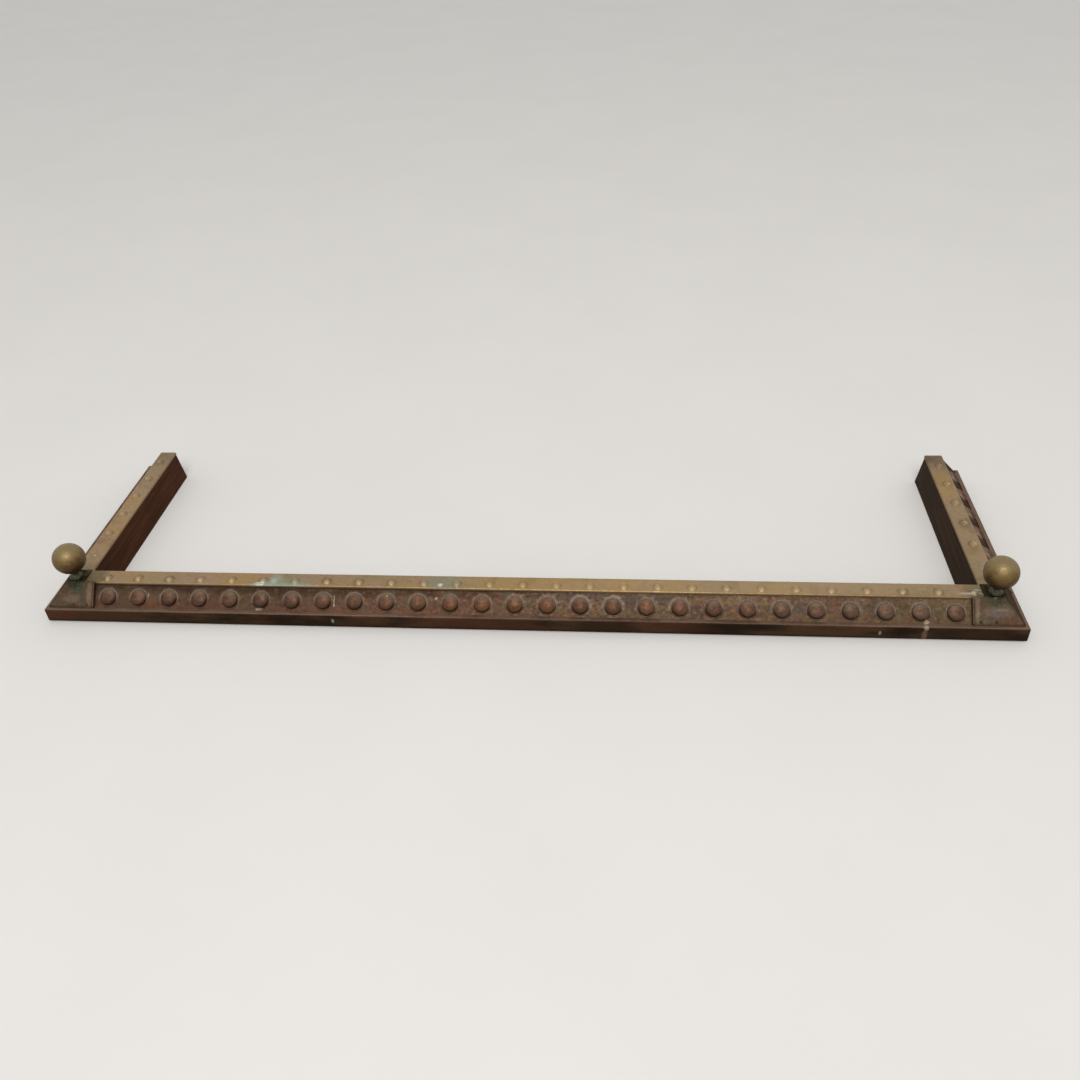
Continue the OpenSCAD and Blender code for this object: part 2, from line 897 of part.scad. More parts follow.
// A flat strap across the mitre, let into the underside
module strap() {
  sink_h = screw_head_d / 4;
  difference() {
    translate([0, 0, strap_lift]) strap_blank(strap_l, strap_w, strap_t);
    for (x = screw_places) translate([x, 0, strap_lift - seat_gap]) {
      cylinder(d = screw_d + screw_gap, h = strap_t + past);
      cylinder(
        d1 = screw_head_d + screw_gap + 2 * seat_gap, d2 = screw_d + screw_gap, h = sink_h + seat_gap
      );
    }
  }
}

module left_strap() {
  color("#4a4845") at_left_corner() strap_place() strap();
}

module right_strap() {
  color("#4a4845") at_right_corner() strap_place() strap();
}

// Fixings of a kind
module strap_screws() {
  strap_place() for (x = screw_places) translate([x, 0, strap_lift]) rotate([180, 0, 0]) strap_screw();
}

module corner_screws() {
  color("#6b6760") {
    at_left_corner() strap_screws();
    at_right_corner() strap_screws();
  }
}

module cap_nails() {
  color("#5a4030") {
    at_left_corner() nail_places() cap_nail();
    at_right_corner() nail_places() cap_nail();
  }
}

module strip_pins() {
  color("#a98b62") {
    at_front() pin_places(pin_x) strip_pin();
    at_left() pin_places(return_pin_x) strip_pin();
    at_right() pin_places(return_pin_x) strip_pin();
  }
}

module plinth_tacks() {
  color("#5a4030") {
    at_front() tack_places(tack_x) plinth_tack();
    at_left() tack_places(return_tack_x) plinth_tack();
    at_right() tack_places(return_tack_x) plinth_tack();
  }
}

front_core();
left_core();
right_core();
front_facing();
left_facing();
right_facing();
front_plinth();
left_plinth();
right_plinth();
front_strip();
left_strip();
right_strip();
left_cap();
right_cap();
left_ball();
right_ball();
left_collar();
right_collar();
left_rod();
right_rod();
left_washer();
right_washer();
left_nut();
right_nut();
left_strap();
right_strap();
corner_screws();
cap_nails();
strip_pins();
plinth_tacks();
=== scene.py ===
import math

import bpy
from mathutils import Matrix, Vector

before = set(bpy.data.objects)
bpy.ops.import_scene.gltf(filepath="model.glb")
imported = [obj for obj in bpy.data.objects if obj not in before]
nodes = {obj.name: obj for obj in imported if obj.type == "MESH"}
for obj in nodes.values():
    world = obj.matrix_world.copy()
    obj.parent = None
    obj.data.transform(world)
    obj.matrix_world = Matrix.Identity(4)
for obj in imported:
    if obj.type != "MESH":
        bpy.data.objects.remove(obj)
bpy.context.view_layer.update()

mm = 0.001
print("frame loaded:", len(nodes), "nodes")

# sizes of the part that the patterns follow, in mm; start is where a row's first boss or stud
# is along the rail, and in is how far the stud row is from the strip's outer edge
fender = {"width": 1370, "depth": 380, "railHeight": 50.5, "plinthHeight": 22.5,
          "ledge": 8, "railSet": 30.5, "finialIn": 41}
facing = {"bossUp": 14.5, "bossRadius": 11.5, "ringCrest": 13.1, "rise": (23.8, 24.5),
          "pitch": {"front": 45.5, "left": 49, "right": 49},
          "start": {"front": 0, "left": 97, "right": 97}}
studs = {"radius": 6, "pitch": {"front": 46.7, "left": 50.5, "right": 50.5},
         "start": {"front": 10.5, "left": 96, "right": 96},
         "in": {"front": 9.5, "left": 11.5, "right": 11.5}}


def hexColour(code):
    # sRGB hex to the linear values that a shader socket takes
    parts = [int(code[i:i + 2], 16) / 255 for i in (1, 3, 5)]
    linear = [p / 12.92 if p <= 0.04045 else ((p + 0.055) / 1.055) ** 2.4 for p in parts]
    return (*linear, 1.0)


def addNode(tree, kind, inputs=None, **settings):
    # inputs: socket name or number to a value, a node (its first output) or an output socket
    node = tree.nodes.new("ShaderNode" + kind)
    for name, value in settings.items():
        setattr(node, name, value)
    for key, value in (inputs or {}).items():
        if isinstance(value, bpy.types.Node):
            value = value.outputs[0]
        if isinstance(value, bpy.types.NodeSocket):
            tree.links.new(value, node.inputs[key])
        else:
            node.inputs[key].default_value = value
    return node


shiftWay = (1, 1.7, -1)  # the direction in which a shift moves a cloud


def cloudy(tree, point, size, detail=3, rough=0.55, stretch=(1, 1, 1), shift=0):
    # soft noise from 0 to 1 with blotches about size mm across; a shift makes it another one
    spread = tuple(1 / (size * s) for s in stretch)
    offset = tuple(shift * way for way in shiftWay)
    scaled = addNode(tree, "VectorMath", {0: point, 1: spread, 2: offset},
                     operation="MULTIPLY_ADD")
    return addNode(tree, "TexNoise", {"Vector": scaled, "Scale": 1.0, "Detail": detail,
                                      "Roughness": rough})


def newFinish(name, tints, clouds):
    # a bare material, its tree, and its stock: tints, clouds and the point on the object. The
    # specks among the clouds are tarnish finer than 1 mm, drawn as coarse as they need to show
    material = bpy.data.materials.new(name)
    material.use_nodes = True
    tree = material.node_tree
    tree.nodes.clear()
    place = addNode(tree, "TexCoord").outputs["Object"]
    point = addNode(tree, "VectorMath", {0: place, "Scale": 1 / mm}, operation="SCALE")
    stock = {key: hexColour(code) for key, code in tints.items()}
    stock.update({key: cloudy(tree, point, **cloud) for key, cloud in clouds.items()})
    stock["point"] = point
    return material, tree, stock


# Every finish is a ground tint with coats laid over it in turn. A coat is a tint and then its
# steps, whose product is how much of it shows. A step is a number, a node, the name of a
# pattern in the finish's stock, or a pattern's name with the two levels that it runs between
# and then, where they aren't 0 and 1, the shares at these. Every length is in mm.
def share(tree, stock, *steps):
    total = None
    for step in steps:
        if isinstance(step, tuple):
            pattern, low, high, least, most = step if len(step) == 5 else (*step, 0, 1)
            pattern = stock[pattern] if isinstance(pattern, str) else pattern
            step = addNode(tree, "MapRange", {"Value": pattern, "From Min": low,
                                              "From Max": high, "To Min": least,
                                              "To Max": most}, interpolation_type="SMOOTHSTEP")
        elif isinstance(step, str):
            step = stock[step]
        if total is not None:
            step = addNode(tree, "Math", {0: total, 1: step}, operation="MULTIPLY")
        total = step
    return total


def coated(tree, stock, colour, *coats):
    for tint, *steps in coats:
        under, over = (stock[c] if isinstance(c, str) else c for c in (colour, tint))
        mix = addNode(tree, "Mix", {"Factor": share(tree, stock, *steps), 6: under, 7: over},
                      data_type="RGBA")
        colour = mix.outputs[2]
    return colour


# where a patch begins and is full, in its half sizes, and how much noise adds to the frayed one
patchEdge = {"soft": (1.2, 0.6), "frayed": (2.1, 1.3), "fray": 1.6}


def patch(tree, stock, centre, half, frayedBy=None):
    # 1 inside an ellipse on the stock's flat, fading over its edge, which noise can fray
    spread = (1 / half[0], 1 / half[1], 0)
    offset = (-centre[0] / half[0], -centre[1] / half[1], 0)
    local = addNode(tree, "VectorMath", {0: stock["flat"], 1: spread, 2: offset},
                    operation="MULTIPLY_ADD")
    reach = addNode(tree, "VectorMath", {0: local}, operation="LENGTH").outputs["Value"]
    if frayedBy is None:
        return share(tree, stock, (reach, *patchEdge["soft"]))
    reach = addNode(tree, "Math", {0: stock[frayedBy], 1: patchEdge["fray"], 2: reach},
                    operation="MULTIPLY_ADD")
    return share(tree, stock, (reach, *patchEdge["frayed"]))


def marked(tree, stock, colour, marks, frayedBy):
    # marks are placed on the flat, as along, up or in, half length, half height, share, tint
    for along, across, long, high, most, tint in marks:
        spot = patch(tree, stock, (along, across), (long, high), frayedBy)
        colour = coated(tree, stock, colour, (tint, spot, most))
    return colour


def facingUp(tree):
    # the height of the surface's normal: 1 where it lies flat and catches dust
    normal = addNode(tree, "NewGeometry").outputs["Normal"]
    return addNode(tree, "SeparateXYZ", {0: normal}).outputs["Z"]


roughLevels = (0.3, 0.7)  # where a noise leaves its least and reaches its most roughness


def finishMaterial(tree, stock, look, colour, height, metallic=None):
    # height is a pattern from 0 to 1, and relief the depth in mm that a full step stands for
    rough = look["roughness"]
    if isinstance(rough, tuple):
        pattern, least, most = rough
        rough = share(tree, stock, (pattern, *roughLevels, least, most))
    bump = addNode(tree, "Bump", {"Height": height, "Strength": 1.0,
                                  "Distance": look["relief"] * mm})
    sockets = {"Base Color": colour, "Roughness": rough, "Normal": bump,
               "Metallic": look["metallic"] if metallic is None else metallic}
    if "edgeOn" in look:
        sockets["Specular Tint"] = hexColour(look["edgeOn"])
    if "specular" in look:
        sockets["Specular IOR Level"] = look["specular"]
    shader = addNode(tree, "BsdfPrincipled", sockets)
    addNode(tree, "OutputMaterial", {"Surface": shader})


def dented(tree, stock, look, dents):
    # broad dents with a little of the fine specks on them
    return addNode(tree, "Math", {0: stock["specks"], 1: look["speckRelief"], 2: stock[dents]},
                   operation="MULTIPLY_ADD")


def railPlace(tree, stock, side):
    # puts into the stock how far along the rail, in from the plinth's face and up a point is
    x, y, z = addNode(tree, "SeparateXYZ", {0: stock["point"]}).outputs
    fromFront = addNode(tree, "Math", {0: y, 1: fender["depth"] / 2}, operation="ADD")
    along, inward = x, fromFront.outputs[0]
    if side != "front":
        sign = -1 if side == "right" else 1
        inward = addNode(tree, "Math", {0: x, 1: sign, 2: fender["width"] / 2},
                         operation="MULTIPLY_ADD").outputs[0]
        along = fromFront.outputs[0]
    stock.update(along=along, inward=inward, z=z)


def rowPlace(tree, stock, row, side):
    # puts in the number of the nearest boss or stud in a row, and how far beside it a point is
    start, pitch = row["start"][side], row["pitch"][side]
    number = addNode(tree, "Math", {0: stock["along"], 1: -start}, operation="ADD")
    number = addNode(tree, "Math", {0: number, 1: pitch}, operation="DIVIDE")
    number = addNode(tree, "Math", {0: number}, operation="ROUND")
    centre = addNode(tree, "Math", {0: number, 1: pitch, 2: start}, operation="MULTIPLY_ADD")
    beside = addNode(tree, "Math", {0: stock["along"], 1: centre}, operation="SUBTRACT")
    stock.update(number=number, beside=beside)


def distance(tree, a, b):
    both = addNode(tree, "CombineXYZ", {0: a, 1: b})
    return addNode(tree, "VectorMath", {0: both}, operation="LENGTH").outputs["Value"]


def ringMask(tree, radius, middle, halfWidth):
    # 1 on a circle of radius middle, falling to 0 at halfWidth from it
    off = addNode(tree, "Math", {0: radius, 1: middle}, operation="SUBTRACT")
    off = addNode(tree, "Math", {0: off}, operation="ABSOLUTE")
    return share(tree, {}, (off, halfWidth, 0))


beatenCopper = {
    "metallic": 0.85, "bossMetallic": 0.6, "roughness": ("specks", 0.43, 0.62),
    "relief": 0.6, "speckRelief": 0.35, "edgeOn": "#7d6150",
    "tints": {"umber": "#533c2f", "olive": "#4e422f", "plum": "#3f302b", "bloom": "#4b4a3b",
              "rust": "#5c3c2c", "pink": "#634839", "dust": "#7a6857", "dirtAndShade": "#150d08",
              "stripShade": "#38281d", "straw": "#67523a", "slate": "#453d3a",
              "bossLeft": "#513b2f", "bossMiddle": "#5f402b", "bossRight": "#5c483b",
              "bossDark": "#3f2e26", "worn": "#6e513f", "polishAndSheen": "#8b7a6a",
              "grooveLight": "#8f7b6b", "scale": "#9c8a78"},
    # the hammer's marks are about 12 mm apart, and streaks run along the rail
    "clouds": {"patches": {"size": 50}, "broad": {"size": 95, "detail": 2, "shift": 13},
               "mottle": {"size": 27, "detail": 4, "shift": 21},
               "rusting": {"size": 38, "shift": 9},
               "streaks": {"size": 16, "detail": 4, "stretch": (2, 1, 1), "shift": 4},
               "hammer": {"size": 12, "detail": 1, "rough": 0.4, "shift": 2},
               "specks": {"size": 5, "detail": 4, "rough": 0.7}},
    # the sheet over umber; above is how far up the facing from the row's middle, and rightward
    # goes from 0 to 1 between two places along the front and is one value on the returns
    "rightward": {"front": (-60, 220), "return": 0.5},
    "sheet": (("olive", ("patches", 0.38, 0.62), ("rightward", 0, 1, 0.55, 1)),
              ("plum", ("broad", 0.5, 0.68, 0, 0.7)),
              ("pink", ("mottle", 0.5, 0.7, 0, 0.6)),
              ("bloom", ("streaks", 0.5, 0.66, 0, 0.85), ("above", -2, 12, 0.15, 1)),
              # painted shade: the top of the facing under the strip made darker, most on the left
              ("stripShade", ("above", 3, 14), ("streaks", 0.58, 0.36, 0.45, 0.95),
               ("rightward", 0, 1, 1, 0.35)),
              ("straw", ("above", 3, 14), ("streaks", 0.44, 0.66, 0.05, 0.5), "rightward"),
              ("rust", ("rusting", 0.4, 0.62, 0, 0.8), ("above", -6, -13),
               ("rightward", 0, 1, 1, 0.25))),
    # stretches of the front with their own tint, placed along and above; the first is painted
    # shade under the strip
    "stretches": ((-300, 11, 120, 8, 0.5, "stripShade"), (607, 6, 34, 22, 0.6, "straw"),
                  (85, 12, 45, 5, 0.6, "slate"), (190, 11, 55, 5, 0.5, "slate"),
                  (130, -8, 90, 7, 0.5, "olive"), (388, 2, 18, 9, 0.55, "slate"),
                  (497, 1, 22, 11, 0.55, "slate"), (300, 10, 60, 6, 0.45, "straw")),
    "grime": (("plum", ("specks", 0.5, 0.72, 0, 0.65)), ("dust", ("specks", 0.42, 0.28, 0, 0.4))),
    # the bosses: their ground along the front, then each by chance, then the rubbed crown, set
    # higher than the middle so that it also paints light on the upper side
    "alongRow": (("bossMiddle", ("along", -330, 0)), ("bossRight", ("along", 120, 420))),
    "crownUp": 3,
    "boss": (("bossDark", ("chanceA", 0.3, 1, 0, 0.55)), ("pink", ("chanceB", 0.5, 1, 0, 0.6)),
             ("bossDark", ("specks", 0.46, 0.7, 0, 0.6)),
             ("worn", ("fromCrown", 11, 5), ("specks", 0.6, 0.36, 0.15, 0.6))),
    "bossEdge": (0.4, -1.2),  # where a boss's own tint begins and is full, out from its edge
    # the pale ring round a boss, old polish made stronger in its upper half as painted light,
    # and the channel inside it, painted lighter in its upper half, each as how far out from the
    # CAD's ring crest or boss edge, half width and steps; the front's ring is strongest at two
    # places, as centre along, half length and half height; pale copper is less metallic
    "ring": (0.4, 3.4, ("chanceC", 0.1, 1, 0.2, 0.9), ("above", -8, 7, 0.25, 1),
             ("specks", 0.6, 0.4, 0.4, 1)),
    "ringAt": ((125, 150, 60), (530, 65, 60)), "ringElsewhere": 0.4,
    # painted light: the channel inside the ring lightened in its upper half against the shade
    # there
    "litGroove": (0.3, 2.8, ("above", -7, 4, 0, 0.75)),
    "paleMetallic": 0.4,
    # painted shade: the dark crescent under a boss is outside a circle a little higher up that
    # leans sideways along the front, and hammer marks fray it
    "crescentUp": 2.4, "crescentLean": (-350, 350, 1.6, -1.6), "crescentFray": 5,
    # dust where the surface looks up, on the bosses' upper shoulders and ring tops, which also
    # paints light there
    "dustAndShading": (("dust", ("facingUp", 0.76, 0.97), ("streaks", 0.3, 0.6, 0.3, 0.8)),
                # painted shade: the near black crescent under each boss
                ("dirtAndShade", ("fromCrescent", 12, 15.8), ("radius", 13.2, 11.8), 0.5),
                # painted shadow: a dark line just under the strip, most on the left
                ("dirtAndShade", ("above", 15.5, 19, 0, 0.7), ("rightward", 0, 1, 1, 0.2))),
    # scars and scale on the front, placed along and above
    "scars": ((-180, 9.5, 1.8, 2.6, 0.7, "scale"), (-111, 6.5, 2.2, 1.8, 0.7, "scale"),
              (-366, -13, 5, 2.2, 0.7, "scale"), (553, -13, 3.2, 4, 0.7, "scale"),
              (-257, -0.5, 1, 8, 0.7, "scale"), (-531, 4.5, 0.8, 4, 0.7, "scale")),
}


def makeBeatenCopper(side):
    # sheet copper raised from the back with a punch, then left to tarnish: umber to olive on
    # the flat with a grey-green bloom high up, redder on the bosses, and a pale ring of old
    # polish caught round each boss. Painted shade lies near black in the angle under each boss
    # and darkens the top under the strip; painted light brightens each boss's upper side, its
    # ring and the channel inside that ring
    look = beatenCopper
    material, tree, stock = newFinish("beatenCopper_" + side, look["tints"], look["clouds"])
    railPlace(tree, stock, side)
    rowPlace(tree, stock, facing, side)
    rise = Vector(facing["rise"]).normalized()
    foot = rise.dot(Vector((fender["ledge"], fender["plinthHeight"])))
    section = addNode(tree, "CombineXYZ", {0: stock["inward"], 1: stock["z"]})
    up = addNode(tree, "VectorMath", {0: section, 1: (*rise, 0)}, operation="DOT_PRODUCT")
    above = addNode(tree, "Math", {0: up.outputs["Value"], 1: foot + facing["bossUp"]},
                    operation="SUBTRACT")
    beside = stock["beside"]
    radius = distance(tree, beside, above)
    stock.update(above=above, radius=radius, facingUp=facingUp(tree))
    chance = addNode(tree, "TexWhiteNoise", {"W": stock["number"]}, noise_dimensions="1D")
    chance = addNode(tree, "SeparateColor", {0: chance.outputs["Color"]})
    stock["chanceA"], stock["chanceB"], stock["chanceC"] = chance.outputs

    front = side == "front"
    stock["rightward"] = look["rightward"]["return"]
    if front:
        stock["rightward"] = share(tree, stock, ("along", *look["rightward"]["front"]))
        stock["flat"] = addNode(tree, "CombineXYZ", {0: stock["along"], 1: above})
    colour = coated(tree, stock, "umber", *look["sheet"])
    if front:
        colour = marked(tree, stock, colour, look["stretches"], "streaks")
    colour = coated(tree, stock, colour, *look["grime"])

    ground = coated(tree, stock, "bossLeft", *look["alongRow"]) if front else "bossRight"
    # the rubbed crown sits above the boss's middle: wear with a painted highlight on its upper
    # side
    crown = addNode(tree, "Math", {0: above, 1: look["crownUp"]}, operation="SUBTRACT")
    stock["fromCrown"] = distance(tree, beside, crown)
    boss = coated(tree, stock, ground, *look["boss"])
    outer, inner = (facing["bossRadius"] + edge for edge in look["bossEdge"])
    stock["onBoss"] = share(tree, stock, ("radius", outer, inner))

    # old polish in the ring, stronger in its upper half as painted light
    out, half, *steps = look["ring"]
    ring = share(tree, stock, ringMask(tree, radius, facing["ringCrest"] + out, half), *steps)
    if front:
        least = kept = look["ringElsewhere"]
        for place, long, high in look["ringAt"]:
            near = patch(tree, stock, (place, 0), (long, high))
            near = addNode(tree, "Math", {0: near, 1: 1 - least, 2: least},
                           operation="MULTIPLY_ADD")
            kept = addNode(tree, "Math", {0: kept, 1: near}, operation="MAXIMUM")
        ring = share(tree, stock, ring, kept)
    # painted light in the upper half of the channel between boss and ring
    out, half, *steps = look["litGroove"]
    grooveLight = share(tree, stock, ringMask(tree, radius, facing["bossRadius"] + out, half), *steps)
    stock["pale"] = addNode(tree, "Math", {0: ring, 1: grooveLight}, operation="MAXIMUM")

    # painted shade: where the crescent under each boss lies
    lean = share(tree, stock, ("along", *look["crescentLean"])) if front else 0
    lean = addNode(tree, "Math", {0: beside, 1: lean}, operation="ADD")
    low = addNode(tree, "Math", {0: above, 1: look["crescentUp"]}, operation="SUBTRACT")
    stock["fromCrescent"] = addNode(tree, "Math", {0: stock["hammer"], 1: look["crescentFray"],
                                                   2: distance(tree, lean, low)},
                                    operation="MULTIPLY_ADD")
    colour = coated(tree, stock, colour, (boss, "onBoss"), ("polishAndSheen", ring),
                    ("grooveLight", grooveLight), *look["dustAndShading"])
    if front:
        colour = marked(tree, stock, colour, look["scars"], "specks")

    metallic = share(tree, stock, ("onBoss", 0, 1, look["metallic"], look["bossMetallic"]),
                     ("pale", 0, 1, 1, look["paleMetallic"]))
    finishMaterial(tree, stock, look, colour, dented(tree, stock, look, "hammer"), metallic)
    return material


plinthCopper = {
    "metallic": 0.85, "dustyMetallic": 0.55, "roughness": ("specks", 0.44, 0.62),
    "relief": 0.9, "speckRelief": 0.25, "edgeOn": "#6e5545",
    "tints": {"black": "#2a2019", "brown": "#4d3a2a", "green": "#312d21", "red": "#57382a",
              "ledge": "#6c5245", "darkLedge": "#4a3427", "dust": "#7d6a5a",
              "lime": "#9a8e7b", "rusty": "#7a6152"},
    "clouds": {"patches": {"size": 90, "stretch": (1.5, 1.5, 0.5), "shift": 3},
               "knocks": {"size": 60, "stretch": (1, 1, 0.4), "shift": 11},
               "smears": {"size": 18, "detail": 4, "stretch": (2.5, 2.5, 0.5), "shift": 8},
               "specks": {"size": 5, "detail": 4, "rough": 0.7},
               "dents": {"size": 26, "detail": 2, "shift": 31}},
    # the face over black
    "face": (("brown", ("patches", 0.4, 0.62)), ("green", ("smears", 0.48, 0.7, 0, 0.7)),
             ("red", ("knocks", 0.5, 0.7, 0, 0.4))),
    # stretches of the front with their own tint, and those where its ledge is dark, placed
    # along and by height
    "stretches": ((-45, 11, 95, 40, 0.55, "red"), (205, 11, 60, 40, 0.45, "red"),
                  (-610, 11, 110, 40, 0.75, "brown"), (-660, 11, 22, 40, 0.5, "red"),
                  (415, 11, 60, 40, 0.5, "brown"), (125, 11, 45, 40, 0.7, "black"),
                  (610, 11, 60, 40, 0.6, "black")),
    "darkStretches": ((40, 20, 170, 40, 0.85, "darkLedge"), (215, 20, 90, 40, 0.85, "darkLedge"),
                      (340, 20, 110, 40, 0.85, "darkLedge")),
    # painted shade: black again at the floor; the ledge over its own tint, where it is and what
    # specks it
    "foot": ("black", ("z", 7, 1.5, 0, 0.7)),
    "ledge": ("red", ("smears", 0.4, 0.7, 0, 0.6)),
    "onLedge": (("z", 20.6, 22.2), ("facingUp", 0.35, 0.85)),
    "ledgeSpecks": ("specks", 0.5, 0.75, 0, 0.5),
    # dust hides the metal where it is thickest
    "dusty": (("facingUp", 0.8, 0.98), ("smears", 0.35, 0.6, 0.3, 0.7)), "mostDust": 0.7,
    # drips on the front, placed along and by height
    "drips": ((-258, 12, 2.2, 3.4, 0.85, "lime"), (493, 11, 2.0, 4.2, 0.85, "lime"),
              (551, 8, 3.8, 13, 0.7, "rusty"), (552, 21, 3.4, 4, 0.8, "lime")),
}


def makePlinthCopper(side):
    # sheet copper bent over a former: near black where shoes and ash reach it and darker still
    # at the floor as painted shade, red where the tarnish has been knocked off, a paler worn
    # ledge, and a few drips of limescale
    look = plinthCopper
    material, tree, stock = newFinish("bentCopper_" + side, look["tints"], look["clouds"])
    railPlace(tree, stock, side)
    stock["facingUp"] = facingUp(tree)
    stock["flat"] = addNode(tree, "CombineXYZ", {0: stock["along"], 1: stock["z"]})
    colour = coated(tree, stock, "black", *look["face"])
    ledge = coated(tree, stock, "ledge", look["ledge"])
    if side == "front":
        colour = marked(tree, stock, colour, look["stretches"], "smears")
        ledge = marked(tree, stock, ledge, look["darkStretches"], "smears")
    onLedge = share(tree, stock, *look["onLedge"])
    stock["dusty"] = share(tree, stock, *look["dusty"])
    colour = coated(tree, stock, colour, look["foot"], (ledge, onLedge),
                    ("black", onLedge, look["ledgeSpecks"]), ("dust", "dusty"))
    if side == "front":
        colour = marked(tree, stock, colour, look["drips"], "specks")
    metallic = share(tree, stock, ("dusty", 0, look["mostDust"], look["metallic"],
                                   look["dustyMetallic"]))
    finishMaterial(tree, stock, look, colour, dented(tree, stock, look, "dents"), metallic)
    return material


stripBrass = {
    "metallic": 0.85, "roughness": ("specks", 0.4, 0.6), "relief": 0.7, "speckRelief": 0.2,
    "tints": {"tan": "#8f7a5b", "gold": "#997d52", "pink": "#967a62", "brown": "#705b3f",
              "dark": "#4d3d28", "edge": "#aa9672", "bright": "#a98850", "stud": "#b8a47a",
              "light": "#a58d6b", "soot": "#665736", "verdigris": "#90a795",
              "grey": "#808571", "lime": "#ccd0c2"},
    "clouds": {"broad": {"size": 150, "detail": 2, "shift": 17}, "patches": {"size": 40},
               "smears": {"size": 16, "detail": 4, "stretch": (2.2, 2.2, 1), "shift": 6},
               "specks": {"size": 4, "detail": 4, "rough": 0.7},
               "dents": {"size": 30, "detail": 2, "shift": 41}},
    # the sheet over tan
    "sheet": (("gold", ("broad", 0.4, 0.6)), ("pink", ("patches", 0.46, 0.68, 0, 0.8)),
              ("brown", ("smears", 0.5, 0.74, 0, 0.65)),
              ("brown", ("specks", 0.55, 0.76, 0, 0.6)),
              ("edge", ("specks", 0.42, 0.28, 0, 0.4))),
    # the dark ring round a stud, as how far out of its edge, half width and steps, dirt with
    # painted shadow that is darkest behind the stud, and its rubbed crown, whose middle is a
    # little nearer the front as painted highlight; off is in from the row
    "ring": (0.6, 2.6, ("smears", 0.3, 0.65, 0.15, 0.5), ("off", -5, 4, 0.2, 1)),
    "crownIn": -2.2, "crown": ("fromCrown", 5, 1, 0, 0.6),
    "pastCorner": ("number", 0.4, 0.6),
    # stains on the front, placed along and in, with what frays them
    "ragged": {"size": 7, "detail": 4, "rough": 0.7, "shift": 26},
    "stains": ((40, 44, 130, 24, 0.4, "bright"), (330, 44, 250, 30, 0.4, "light"),
               (-333, 31, 48, 6, 0.6, "verdigris"), (-345, 42, 10, 13, 0.5, "verdigris"),
               (-347, 40, 5, 6, 0.4, "lime"), (-368, 33, 7, 4, 0.6, "lime"),
               (-325, 40, 32, 12, 0.35, "grey"), (-102, 44, 30, 15, 0.6, "grey"),
               (-106, 37, 4, 3.5, 0.8, "lime"), (-617, 44, 17, 22, 0.75, "soot"),
               (617, 46, 17, 18, 0.5, "soot"), (614, 38, 16, 2.4, 0.4, "lime"),
               (620, 45, 9, 2.2, 0.35, "lime")),
    # the front fold, in from the strip's edge, browned over its highlight as painted shade, more
    # on the right
    "fold": ("brown", ("inward", fender["railSet"] + 2.2, fender["railSet"] + 1),
             ("along", 180, 330, 0.1, 0.6)),
    # the returns' rear ends, smoked by the fire
    "smoked": {"left": 0.35, "right": 0.75}, "smokedFrom": ("along", 300, 372),
    "smokedBy": ("smears", 0.3, 0.6, 0.5, 1),
    "foldedDown": ("brown", ("z", fender["railHeight"] - 0.7, fender["railHeight"] - 2, 0,
                             0.75)),
}


def makeStripBrass(side):
    # rolled sheet brass, wiped but not polished: tan gold gone dull, pinkish where the zinc
    # has left the surface, dark in the rings round the studs with painted shadow behind each,
    # whose tops are rubbed bright with a painted highlight toward the front, pale verdigris in
    # two places, and painted shade dulling the front fold on the right
    look = stripBrass
    material, tree, stock = newFinish("rolledBrass_" + side, look["tints"], look["clouds"])
    railPlace(tree, stock, side)
    rowPlace(tree, stock, studs, side)
    centre = fender["railSet"] + studs["in"][side]
    off = addNode(tree, "Math", {0: stock["inward"], 1: centre}, operation="SUBTRACT")
    crown = addNode(tree, "Math", {0: off, 1: -look["crownIn"]}, operation="ADD")
    stock.update(off=off, fromCrown=distance(tree, stock["beside"], crown))
    radius = distance(tree, stock["beside"], off)
    # dirt and painted shadow in a ring round each stud, darkest behind it
    out, half, *steps = look["ring"]
    ring = [ringMask(tree, radius, studs["radius"] + out, half), *steps]
    # the rubbed crown, a painted highlight set toward the front
    crown = [look["crown"]]
    if side != "front":
        # the stud next to the corner is worn to the colour of the sheet
        ring.append(look["pastCorner"])
        crown.append(look["pastCorner"])
    colour = coated(tree, stock, "tan", *look["sheet"], ("dark", *ring), ("stud", *crown))
    if side == "front":
        stock["ragged"] = cloudy(tree, stock["point"], **look["ragged"])
        stock["flat"] = addNode(tree, "CombineXYZ", {0: stock["along"], 1: stock["inward"]})
        colour = marked(tree, stock, colour, look["stains"], "ragged")
        # painted shade dulls the fold's highlight on the right
        colour = coated(tree, stock, colour, look["fold"])
    else:
        colour = coated(tree, stock, colour, ("dark", look["smokedFrom"], look["smoked"][side],
                                              look["smokedBy"]))
    colour = coated(tree, stock, colour, look["foldedDown"])
    finishMaterial(tree, stock, look, colour, dented(tree, stock, look, "dents"))
    return material


